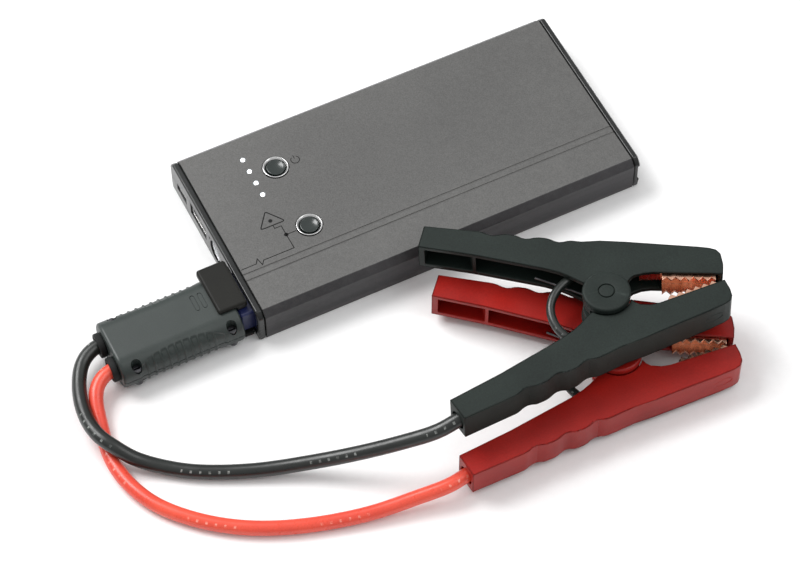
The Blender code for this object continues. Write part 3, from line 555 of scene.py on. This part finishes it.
def clamp_matrix(colour):
    place, turn = CLAMPS[colour]["place"], CLAMPS[colour]["turn"]
    roll, pitch, yaw = (math.radians(angle) for angle in turn)
    return Matrix.Translation(Vector(place) * MM) @ Matrix.Rotation(yaw, 4, "Z") @ Euler(
        (0, pitch, 0)).to_matrix().to_4x4() @ Euler((roll, 0, 0)).to_matrix().to_4x4()


def to_world(colour, point):
    return clamp_matrix(colour) @ (Vector(point) * MM)


# ---------------------------------------------------------------- cords
def collar(colour):
    """Strain relief: a stepped rubber bush with a rounded flange, standing in the module's end."""
    y = LEAD_Y[colour]
    out = Matrix.Translation(Vector((MODULE_X[0], y, MODULE_Z)) * MM) @ Matrix.Rotation(-math.pi / 2, 4, "Y")
    profile = [(3.05, 2.35)] + arc((3.3, 2.35), 0.25, 180, 90, 4)
    profile += arc((4.35, 2.15), 0.45, 90, 0, 6) + arc((4.6, 0.5), 0.2, 0, -90, 4)
    profile += [(4.0, 0.3), (4.0, -2.6), (3.1, -2.6), (3.05, -2.4)]
    return stand_in(spun(f"{colour}_collar", profile, out, "rubber", 64), f"{colour}_lead_collar")


def lead(colour):
    """The lead from inside the module, along its route, to inside the clamp's lower handle."""
    y = LEAD_Y[colour]
    inside = [to_world(colour, point) / MM for point in LEAD_IN_HANDLE]
    knots = [(-122.0, y, MODULE_Z), (-130.0, y, MODULE_Z)] + list(LEAD_ROUTES[colour]) + inside
    points = [point * MM for point in smooth_route(knots, 1.5)]
    tube = sweep(f"{colour}_wire", points, LEAD_RADIUS * MM, f"{colour}_jacket", 32)
    stand_in(tube, f"{colour}_lead")
    collar(colour)


for lead_colour in CLAMPS:
    lead(lead_colour)


# ---------------------------------------------------------------- pack
def pack_section(inset, grooves):
    """The sleeve's outline in Y-Z, with its corners and grooves rounded."""
    half, slope = 40.5 - inset, inset * 0.414
    right = [(half - 0.5, inset), (half, 3.5), (half, 13.3 - slope), (half - 2.5 + slope, 16.0 - inset)]
    corners = right + [(-y, z) for y, z in reversed(right)]
    if not grooves:
        return corners
    top = []
    for y in (-20.8, -23.8):
        top += [(y + 0.35, 16.0), (y + 0.22, 15.7), (y - 0.22, 15.7), (y - 0.35, 16.0)]
    return corners[:4] + top + corners[4:]


def rounded(points, radius, steps=3, least=20):
    """Replace each clear corner of a closed outline by a short arc."""
    made = []
    count = len(points)
    for index in range(count):
        before, here, after = (Vector(points[(index + k) % count]) for k in (-1, 0, 1))
        come, leave = (here - before), (after - here)
        bend = come.angle(leave)
        reach = min(radius * math.tan(bend / 2), come.length * 0.4, leave.length * 0.4)
        if math.degrees(bend) < least:
            made.append(tuple(here))
            continue
        start, end = here - come.normalized() * reach, here + leave.normalized() * reach
        for step in range(steps + 1):
            t = step / steps
            made.append(tuple((1 - t) ** 2 * start + 2 * t * (1 - t) * here + t * t * end))
    return made


def prism(name, outline, x_from, x_to, look, hole=None):
    """A closed tube or bar along X from outlines in Y-Z."""
    bm = bmesh.new()

    def loops(points):
        return [[bm.verts.new((x * MM, y * MM, z * MM)) for y, z in points] for x in (x_from, x_to)]

    outer = loops(outline)
    inner = loops(hole) if hole else None
    for group in (outer, inner):
        for first, second in zip(group or [], (group or [])[1:]):
            for k in range(len(first)):
                j = (k + 1) % len(first)
                bm.faces.new((first[k], first[j], second[j], second[k]))
    for end in (0, -1):
        if not inner:
            bm.faces.new(outer[end])
            continue
        edges = []
        for ring in (outer[end], inner[end]):
            for k in range(len(ring)):
                edges.append(bm.edges.get((ring[k], ring[(k + 1) % len(ring)])))
        bmesh.ops.triangle_fill(bm, edges=edges, use_beauty=True)
    bmesh.ops.recalc_face_normals(bm, faces=bm.faces)
    return link_mesh(name, bm, look)


def cutter_cylinder(radius, start, end, sides=64):
    start, end = Vector(start) * MM, Vector(end) * MM
    bm = bmesh.new()
    depth = (end - start).length
    bmesh.ops.create_cone(
        bm, cap_ends=True, segments=sides, radius1=radius * MM, radius2=radius * MM, depth=depth)
    bmesh.ops.transform(bm, matrix=Matrix.Translation((start + end) / 2) @ (
        end - start).to_track_quat("Z", "Y").to_matrix().to_4x4(), verts=bm.verts)
    return link_mesh("cutter", bm, "end_cap")


def cutter_box(low, high):
    low, high = Vector(low) * MM, Vector(high) * MM
    bm = bmesh.new()
    bmesh.ops.create_cube(bm, size=1.0)
    place = Matrix.Translation((low + high) / 2) @ Matrix.Diagonal((*(high - low), 1.0))
    bmesh.ops.transform(bm, matrix=place, verts=bm.verts)
    return link_mesh("cutter", bm, "end_cap")


def carve(obj, cutters, operation="DIFFERENCE"):
    for cutter in cutters:
        step = obj.modifiers.new("carve", "BOOLEAN")
        step.operation = operation
        step.solver = "EXACT"
        step.object = cutter
    bpy.context.view_layer.update()
    apply_modifiers(obj)
    for cutter in cutters:
        bpy.data.objects.remove(cutter, do_unlink=True)
    return obj


def round_edges(obj, width, segments, angle):
    edge = obj.modifiers.new("rounded", "BEVEL")
    edge.width = width * MM
    edge.segments = segments
    edge.limit_method = "ANGLE"
    edge.angle_limit = math.radians(angle)
    edge.use_clamp_overlap = False
    smooth(obj, 45)
    weight = obj.modifiers.new("even_normals", "WEIGHTED_NORMAL")
    weight.keep_sharp = True
    return apply_modifiers(obj)


BUTTON_X, BUTTON_Y, BUTTON_RADIUS = -45.6, {"power": 19.2, "boost": -10.9}, 5.0
LIGHT_X, LIGHT_Y, LIGHT_RADIUS, LIGHT_HOLE = -55.3, [28.2 - 6.07 * k for k in range(4)], 0.8, 1.1
TORCH = (-79.6, -1.6, 8.0)
SLEEVE_HALF_LENGTH, SLEEVE_WALL = 77.5, 1.2


def sleeve():
    """The extruded sleeve: grooves in its section, drilled controls, and walls and bevels darkened with
    painted shade.
    """
    outline = rounded(pack_section(0.0, True), 0.55)
    body = prism(
        "sleeve", outline, -SLEEVE_HALF_LENGTH, SLEEVE_HALF_LENGTH, ["plate", "side"],
        hole=pack_section(SLEEVE_WALL, False))
    holes = [cutter_cylinder(BUTTON_RADIUS + 0.3, (BUTTON_X, y, 12), (BUTTON_X, y, 20), 96)
             for y in BUTTON_Y.values()]
    holes += [cutter_cylinder(LIGHT_HOLE, (LIGHT_X, y, 12), (LIGHT_X, y, 20), 40) for y in LIGHT_Y]
    carve(body, holes)
    bm = bmesh.new()
    bm.from_mesh(body.data)
    bmesh.ops.dissolve_limit(bm, angle_limit=math.radians(0.5), verts=bm.verts, edges=bm.edges)
    # walls and bevels take the side material: the same anodising with painted shade
    for face in bm.faces:
        middle = face.calc_center_median() / MM
        outward = abs(middle.y) > 36 and abs(face.normal.x) < 0.5
        face.material_index = 1 if outward and face.normal.z < 0.93 else 0
    bm.to_mesh(body.data)
    bm.free()
    round_edges(body, 0.1, 2, 55)
    return stand_in(body, "case_sleeve")


def button(name):
    y = BUTTON_Y[name]
    place = Matrix.Translation(Vector((BUTTON_X, y, 0)) * MM)
    top, under = TOP + 0.4, TOP - 1.5
    inner = BUTTON_RADIUS - 1.15
    profile = [(inner, top - 0.85), (inner + 0.6, top - 0.1)]
    profile += arc((inner + 0.8, top - 0.14), 0.14, 140, 90, 4)
    profile += arc((BUTTON_RADIUS - 0.2, top - 0.2), 0.2, 90, 0, 6)
    profile += [(BUTTON_RADIUS, under + 0.1), (BUTTON_RADIUS + 0.9, under)]
    profile += [(BUTTON_RADIUS + 0.9, under - 0.8), (inner, under - 0.8)]
    stand_in(spun(f"{name}_ring", profile, place, "steel", 112), f"{name}_button_rim")
    face = inner - 0.3
    dish = [(0.0, top - 0.62)]
    for k in range(1, 9):
        t = k / 8
        dish.append((face * 0.9 * t, top - 0.62 + 0.42 * t ** 2.4))
    dish += arc((face - 0.22, top - 0.4), 0.2, 90, 0, 5)
    dish += [(face, under - 0.5), (1.3, under - 0.5), (1.3, under - 1.6), (0.0, under - 1.6)]
    stand_in(spun(f"{name}_dish", dish, place, "button", 96), f"{name}_button_face")


def lights():
    for number, y in enumerate(LIGHT_Y):
        place = Matrix.Translation(Vector((LIGHT_X, y, 0)) * MM)
        dome = [(0.0, TOP - 0.02)]
        for a in (0.3, 0.6, 0.9, 1.2, 1.5):
            dome.append((LIGHT_RADIUS * math.sin(a), TOP - 0.32 + 0.3 * math.cos(a)))
        dome += [(LIGHT_RADIUS, 5.5), (0.0, 5.5)]
        stand_in(spun(f"light_{number + 1}", dome, place, "light", 40), f"indicator_light_{number + 1}")


def torch():
    """The torch in the port end: a flared bowl, a domed window and the lamp at its foot."""
    out = Matrix.Translation(Vector(TORCH) * MM) @ Matrix.Rotation(-math.pi / 2, 4, "Y")
    bowl = arc((4.6, -0.35), 0.2, 90, 0, 4) + [(4.8, -4.6), (1.2, -4.6), (1.2, -4.05)]
    bowl += [(1.2 + 3.2 * t, -4.05 + 3.75 * t ** 1.8) for t in (0.1, 0.25, 0.4, 0.55, 0.7, 0.85, 1.0)]
    stand_in(spun("torch_bowl", bowl, out, "reflector", 96), "torch_reflector")
    lens = [(0.0, 0.85)] + [(4.6 * t, 0.85 - 0.55 * t ** 2.2) for t in (0.2, 0.4, 0.6, 0.8, 0.92, 1.0)]
    lens += [(4.78, 0.2), (4.7, 0.08), (0.0, 0.08)]
    stand_in(spun("torch_window", lens, out, "lens", 96), "torch_lens")
    lamp = [(0.0, -1.35)] + [(0.9 * math.sin(a), -1.9 + 0.55 * math.cos(a)) for a in (0.4, 0.8, 1.2, 1.57)]
    lamp += [(0.9, -3.4), (0.0, -3.4)]
    stand_in(spun("torch_lamp", lamp, out @ Matrix.Translation((0, 0, -0.0012)), "light", 40), "torch_led")


def ribbon(bm, points, width, low, high, closed=False):
    """A flat printed line: mitred strip between two heights."""
    points = [Vector(point) for point in points]
    count = len(points)
    sides = []
    for k, here in enumerate(points):
        before = points[k - 1] if k or closed else None
        after = points[(k + 1) % count] if k + 1 < count or closed else None
        come = (here - before).normalized() if before is not None else None
        leave = (after - here).normalized() if after is not None else None
        come, leave = come or leave, leave or come
        normal = Vector((-(come + leave).y, (come + leave).x)).normalized()
        stretch = 1 / max(0.35, normal.dot(Vector((-come.y, come.x))))
        sides.append([
            [bm.verts.new(((here + normal * s * width / 2 * stretch).to_3d() + Vector((0, 0, z))) * MM)
             for z in (low, high)] for s in (1, -1)])
    pairs = list(zip(sides, sides[1:])) + ([(sides[-1], sides[0])] if closed else [])
    for (a, b), (c, d) in pairs:
        for quad in ((a[1], b[1], d[1], c[1]), (a[0], c[0], d[0], b[0]), (a[0], a[1], c[1], c[0]),
                     (b[0], d[0], d[1], b[1])):
            bm.faces.new(quad)
    if not closed:
        for (a, b) in (sides[0], sides[-1]):
            bm.faces.new((a[0], a[1], b[1], b[0]))


def dot(bm, x, y, radius, low, high, sides=32):
    made = bmesh.ops.create_cone(
        bm, cap_ends=True, segments=sides, radius1=radius * MM, radius2=radius * MM, depth=(high - low) * MM)
    bmesh.ops.translate(bm, verts=made["verts"], vec=Vector((x, y, (low + high) / 2)) * MM)


def printed_marks():
    """Plain line marks: a triangle, a node and a line by one button, an open ring by the other."""
    low, high = TOP - 0.02, TOP + 0.02
    bm = bmesh.new()
    ribbon(bm, rounded([(-58.0, 2.0), (-52.9, -5.0), (-63.1, -4.9)], 0.6), 0.46, low, high, closed=True)
    dot(bm, -58.0, -2.7, 0.8, low, high)
    line = 0.34
    ribbon(bm, [(-58.0, -5.0), (-58.0, -6.6), (-55.3, -6.6), (-55.3, -11.1), (-55.2, -17.9), (-67.7, -17.9),
                (-69.0, -19.6), (-69.7, -16.3), (-71.0, -18.3), (-77.2, -18.3)], line, low, high)
    ribbon(bm, [(-55.3, -11.1), (-51.2, -11.1)], line, low, high)
    dot(bm, -55.3, -11.1, 0.85, low, high)
    x, y = -37.4, BUTTON_Y["power"]
    turns = [math.radians(125 + 29 * k) for k in range(11)]
    ribbon(bm, [(x + 1.7 * math.cos(a), y + 1.7 * math.sin(a)) for a in turns], 0.3, low, high)
    ribbon(bm, [(x, y + 0.6), (x, y + 2.2)], 0.3, low, high)
    bmesh.ops.recalc_face_normals(bm, faces=bm.faces)
    declare(link_mesh("printed_marks", bm, "ink"), "pack", "end_cap_plastic")


def keep_node(node, look):
    """A CAD node whose shape is right, with its finish."""
    obj = NODES[node]
    for slot in obj.material_slots:
        slot.material = MATERIALS[look]
    if not obj.material_slots:
        obj.data.materials.append(MATERIALS[look])


sleeve()
for button_name in BUTTON_Y:
    button(button_name)
lights()
torch()
printed_marks()
refined("port_end_cap", "end_cap", 0.15)
refined("rear_end_cap", "end_cap", 0.15)
refined("usb_a_port", "steel", 0.08, 2)
refined("micro_usb_port", "steel", 0.08, 2)
refined("socket_flap", "rubber", 0.2)
refined("power_socket", "blue", 0.2)


# ---------------------------------------------------------------- plug module
def stadium_point(angle, inset):
    """A point on the module's section; angle runs round it anticlockwise, from 0 to 1."""
    flat = MODULE_HALF - MODULE_RADIUS
    radius = MODULE_RADIUS - inset
    bow = math.pi * MODULE_RADIUS
    total = 2 * bow + 4 * flat
    s = (angle % 1.0) * total
    if s < bow:
        turn = s / MODULE_RADIUS - math.pi / 2
        return flat + radius * math.cos(turn), radius * math.sin(turn), turn, 1
    s -= bow
    if s < 2 * flat:
        return flat - s, radius, math.pi / 2, 0
    s -= 2 * flat
    if s < bow:
        turn = s / MODULE_RADIUS + math.pi / 2
        return -flat + radius * math.cos(turn), radius * math.sin(turn), turn, -1
    s -= bow
    return -flat + s, -radius, -math.pi / 2, 0


def module_relief(x, turn, side):
    """How far the surface is let in: a lens-shaped grip on each rounded side, with ribs left proud."""
    if not side:
        return 0.0
    lift = math.degrees(turn) if side > 0 else 180 - math.degrees(turn)
    along = (x + 110.5) / 17.5
    if abs(along) >= 1:
        return 0.0
    reach = 26 + 40 * math.sqrt(1 - along * along)
    depth = min(1.0, max(0.0, (reach - abs(lift)) / 7))
    depth *= min(1.0, (1 - abs(along)) / 0.06)
    depth = depth * depth * (3 - 2 * depth)
    wave = (x + 124.5) / 3.0
    rib = max(0.0, 1 - abs((wave - round(wave)) * 3.0) / 0.55) if 0 <= round(wave) <= 9 else 0.0
    return 0.42 * depth * (1 - min(1.0, rib * 1.7))


def module_solid():
    """The whole module as one fine solid, rounded into its ends."""
    bm = bmesh.new()
    around, edge = 200, 1.1
    low, high = MODULE_X
    stations = [low + edge * (1 - math.cos(math.radians(a))) for a in (0, 22, 45, 67)]
    inner = low + edge
    count = 210
    stations += [inner + (high - edge - inner) * k / count for k in range(count + 1)]
    stations += [high - edge * (1 - math.cos(math.radians(a))) for a in (67, 45, 22, 0)]
    rings = []
    for x in stations:
        near = min(x - low, high - x)
        inset = edge - math.sqrt(max(0.0, edge ** 2 - (edge - near) ** 2)) if near < edge else 0.0
        ring = []
        for k in range(around):
            _, _, turn, side = stadium_point(k / around, 0.0)
            y, z, _, _ = stadium_point(k / around, inset + module_relief(x, turn, side))
            ring.append(bm.verts.new((x * MM, (MODULE_Y + y) * MM, (MODULE_Z + z) * MM)))
        rings.append(ring)
    for first, second in zip(rings, rings[1:]):
        for k in range(around):
            j = (k + 1) % around
            bm.faces.new((first[k], first[j], second[j], second[k]))
    for ring in (rings[0], rings[-1]):
        bm.faces.new(ring)
    bmesh.ops.recalc_face_normals(bm, faces=bm.faces)
    return link_mesh("module_solid", bm, "module")


def slot_ring(x, y, half, radius, low, high):
    """A thin closed groove cutter in the shape of a rounded slot outline."""
    bm = bmesh.new()
    outline = []
    for first, centre in ((0, half - radius), (180, radius - half)):
        for k in range(9):
            a = math.radians(first + 180 * k / 8)
            outline.append((x + radius * math.cos(a), y + centre + radius * math.sin(a)))
    ribbon(bm, outline, 0.28, low, high, closed=True)
    bmesh.ops.recalc_face_normals(bm, faces=bm.faces)
    return link_mesh("cutter", bm, "module")


def stadium_outline(half, radius, sides=24):
    flat = half - radius
    return [
        (MODULE_Y + side * flat + radius * math.cos(math.radians(first + 180 * k / sides)),
         MODULE_Z + radius * math.sin(math.radians(first + 180 * k / sides)))
        for side, first in ((1, -90), (-1, 90)) for k in range(sides + 1)]


def module():
    """Both shells: the fine solid cut in two, with its pocket, lead holes, screw holes and moulded slots."""
    for side, node in ((1, "module_upper_shell"), (-1, "module_lower_shell")):
        shell = module_solid()
        shell.name = node.replace("shell", "half")
        split = MODULE_Z + side * 0.15
        low, high = sorted((split, split - side * 30))
        cutters = [
            prism("cutter", stadium_outline(MODULE_HALF - MODULE_WALL, MODULE_RADIUS - MODULE_WALL),
                  MODULE_X[0] + 9.5, MODULE_X[1] - 8.0, "module"),
            cutter_box((-150, -60, low), (-70, 10, high)),
            cutter_box((-98, PLUG_Y - PLUG_HALF, 2.8), (-80, PLUG_Y + PLUG_HALF, 13.2))]
        cutters += [cutter_cylinder(4.3, (-150, y, MODULE_Z), (-120, y, MODULE_Z)) for y in LEAD_Y.values()]
        for x in SCREW_X:
            for offset in (-SCREW_OFFSET, SCREW_OFFSET):
                cutters.append(cutter_cylinder(
                    SCREW_HOLE, (x, MODULE_Y + offset, 2.5), (x, MODULE_Y + offset, 20), 48))
        if side > 0:
            cutters += [slot_ring(x, -23.85, 3.55, 0.8, 15.3, 17.0) for x in (-98.6, -95.6)]
        carve(shell, cutters)
        smooth(shell, 38)
        stand_in(shell, node)


module()
refined("module_nose_cap", "nose", 0.35, 3)
for number in range(1, 5):
    refined(f"module_screw_{number}", "dark_steel", 0.12, 2)
refined("power_plug", "blue", 0.25)


# ---------------------------------------------------------------- clamps
def clamp(colour):
    """Both arms and their teeth, the pivot caps, and the wire and spring that join the two sides."""
    matrix = clamp_matrix(colour)
    for level in ("upper", "lower"):
        refined(f"{colour}_{level}_arm", f"{colour}_clamp", 0.28, 3, weld=0.02)
        refined(f"{colour}_{level}_jaw_teeth", "copper", 0.09, 2, weld=0.01)
    for face, turn in (("top", 0.0), ("base", math.pi)):
        base, top, radius = 6.3, 8.6, 8.9
        cap = [(0.0, top + 0.12), (1.6, top + 0.08)] + arc((2.45, top - 0.22), 0.25, 90, 0, 5)
        cap += [(2.72, top - 0.6), (3.05, top - 0.6), (3.1, top - 0.2)]
        cap += arc((3.3, top - 0.2), 0.2, 180, 90, 4)
        cap += arc((radius - 1.0, top - 1.0), 1.0, 90, 0, 10) + [(radius, base), (0.0, base)]
        place = matrix @ Matrix.Rotation(turn, 4, "X")
        piece = spun(f"{colour}_cap_{face}", cap, place, f"{colour}_clamp", 96)
        stand_in(piece, f"{colour}_pivot_cap_{face}")
    points = [to_world(colour, point) for point in smooth_route(JUMPER_ROUTE, 0.9)]
    wire = sweep(f"{colour}_link_wire", points, 1.65 * MM, "black_jacket", 28)
    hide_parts(f"{colour}_jumper_wire")
    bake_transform(wire)
    half, radius, leave = 1.3, 3.7, 125
    turning = 2 * 360 + 2 * leave
    steps = turning // 8
    coil = [(-23.0, 17.6, -half), (-12.0, 10.4, -half)]
    for k in range(steps + 1):
        angle = math.radians(leave - turning * k / steps)
        coil.append((radius * math.cos(angle), radius * math.sin(angle), half * (2 * k / steps - 1)))
    coil += [(-12.0, -10.4, half), (-23.0, -17.6, half)]
    spring = sweep(f"{colour}_coil", [to_world(colour, point) for point in coil], 0.45 * MM, "dark_steel", 12)
    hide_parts(f"{colour}_torsion_spring")
    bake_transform(spring)


def strands(colour):
    """The jumper's bared and tinned end, crimped to the upper jaw."""
    bm = bmesh.new()
    for k in range(7):
        lift = 2.45 + 0.42 * (k % 3)
        spread = 0.42 * (k // 3) - 0.4
        route = smooth_route([
            (11.6, 12.1 + spread, lift), (14.0, 11.2 + spread, lift + 0.1), (16.6, 10.2 + spread * 1.2, lift),
            (19.2, 9.5 + spread * 1.4, lift - 0.1 + 0.05 * k)], 0.5)
        piece = sweep("strand", [to_world(colour, point) for point in route], 0.2 * MM, "tinned", 10)
        bm.from_mesh(piece.data)
        bpy.data.objects.remove(piece, do_unlink=True)
    declare(smooth(link_mesh(f"{colour}_strands", bm, "tinned"), 50), f"{colour}_clamp_side", "bright_steel")


def moulded_mark(colour):
    """A plain raised oval on the lower arm's outer side, near its tip."""
    first, second = Vector((29.0, -15.8)), Vector((41.2, -12.1))
    along = (second - first).normalized()
    middle = first.lerp(second, 0.68) + Vector((along.y, -along.x)) * 0.02
    ring = []
    for k in range(73):
        a = math.radians(5 * k)
        flat = middle + along * 3.6 * math.cos(a)
        ring.append(to_world(colour, (flat.x, flat.y, 1.9 * math.sin(a))))
    mark = sweep(f"{colour}_oval", ring, 0.16 * MM, f"{colour}_clamp", 10)
    declare(mark, "harness", f"{colour}_clamp_plastic")


for clamp_colour in CLAMPS:
    clamp(clamp_colour)
    strands(clamp_colour)
    moulded_mark(clamp_colour)

# the CAD nodes that stay as they are
for node_name, slot_name in SLOT_OF.items():
    if not NODES[node_name].hide_render:
        keep_node(node_name, SLOT_LOOK[slot_name])


# ---------------------------------------------------------------- studio
def floor():
    bm = bmesh.new()
    bmesh.ops.create_grid(bm, x_segments=40, y_segments=40, size=3.0)
    obj = link_mesh("floor", bm, "ink")
    look = Look("studio_floor", 0.8)
    look.colour(look.mottle((0.93, 0.93, 0.93), (0.90, 0.90, 0.90), 3.0, 400.0, 0.01))
    look.bump(look.noise(300.0), 0.02, 0.1)
    obj.data.materials.clear()
    obj.data.materials.append(look.material)


def area_light(name, place, target, size, power):
    data = bpy.data.lights.new(name, "AREA")
    data.shape = "RECTANGLE"
    data.size, data.size_y = size
    data.energy = power
    lamp = bpy.data.objects.new(name, data)
    SCENE.collection.objects.link(lamp)
    lamp.location = place
    lamp.rotation_euler = (Vector(target) - Vector(place)).to_track_quat("-Z", "Y").to_euler()


def studio():
    world = bpy.data.worlds.new("studio")
    SCENE.world = world
    world.use_nodes = True
    tree = world.node_tree
    background = tree.nodes["Background"]
    coordinates = tree.nodes.new("ShaderNodeTexCoord")
    apart = tree.nodes.new("ShaderNodeSeparateXYZ")
    ramp = tree.nodes.new("ShaderNodeValToRGB")
    tree.links.new(coordinates.outputs["Generated"], apart.inputs[0])
    tree.links.new(apart.outputs["Z"], ramp.inputs["Fac"])
    tree.links.new(ramp.outputs["Color"], background.inputs["Color"])
    ramp.color_ramp.elements[0].position = 0.0
    ramp.color_ramp.elements[0].color = (0.30, 0.30, 0.31, 1.0)
    ramp.color_ramp.elements[1].position = 0.75
    ramp.color_ramp.elements[1].color = (0.78, 0.78, 0.78, 1.0)
    background.inputs["Strength"].default_value = 0.9
    area_light("key", (-0.7, 1.0, 1.5), (0.0, -0.05, 0.0), (1.1, 1.1), 34.0)
    area_light("fill", (0.9, -0.6, 1.6), (0.0, -0.05, 0.0), (1.2, 1.2), 9.0)
    SCENE.view_settings.view_transform = "Standard"
    SCENE.view_settings.look = "None"


floor()
studio()

bpy.context.view_layer.update()
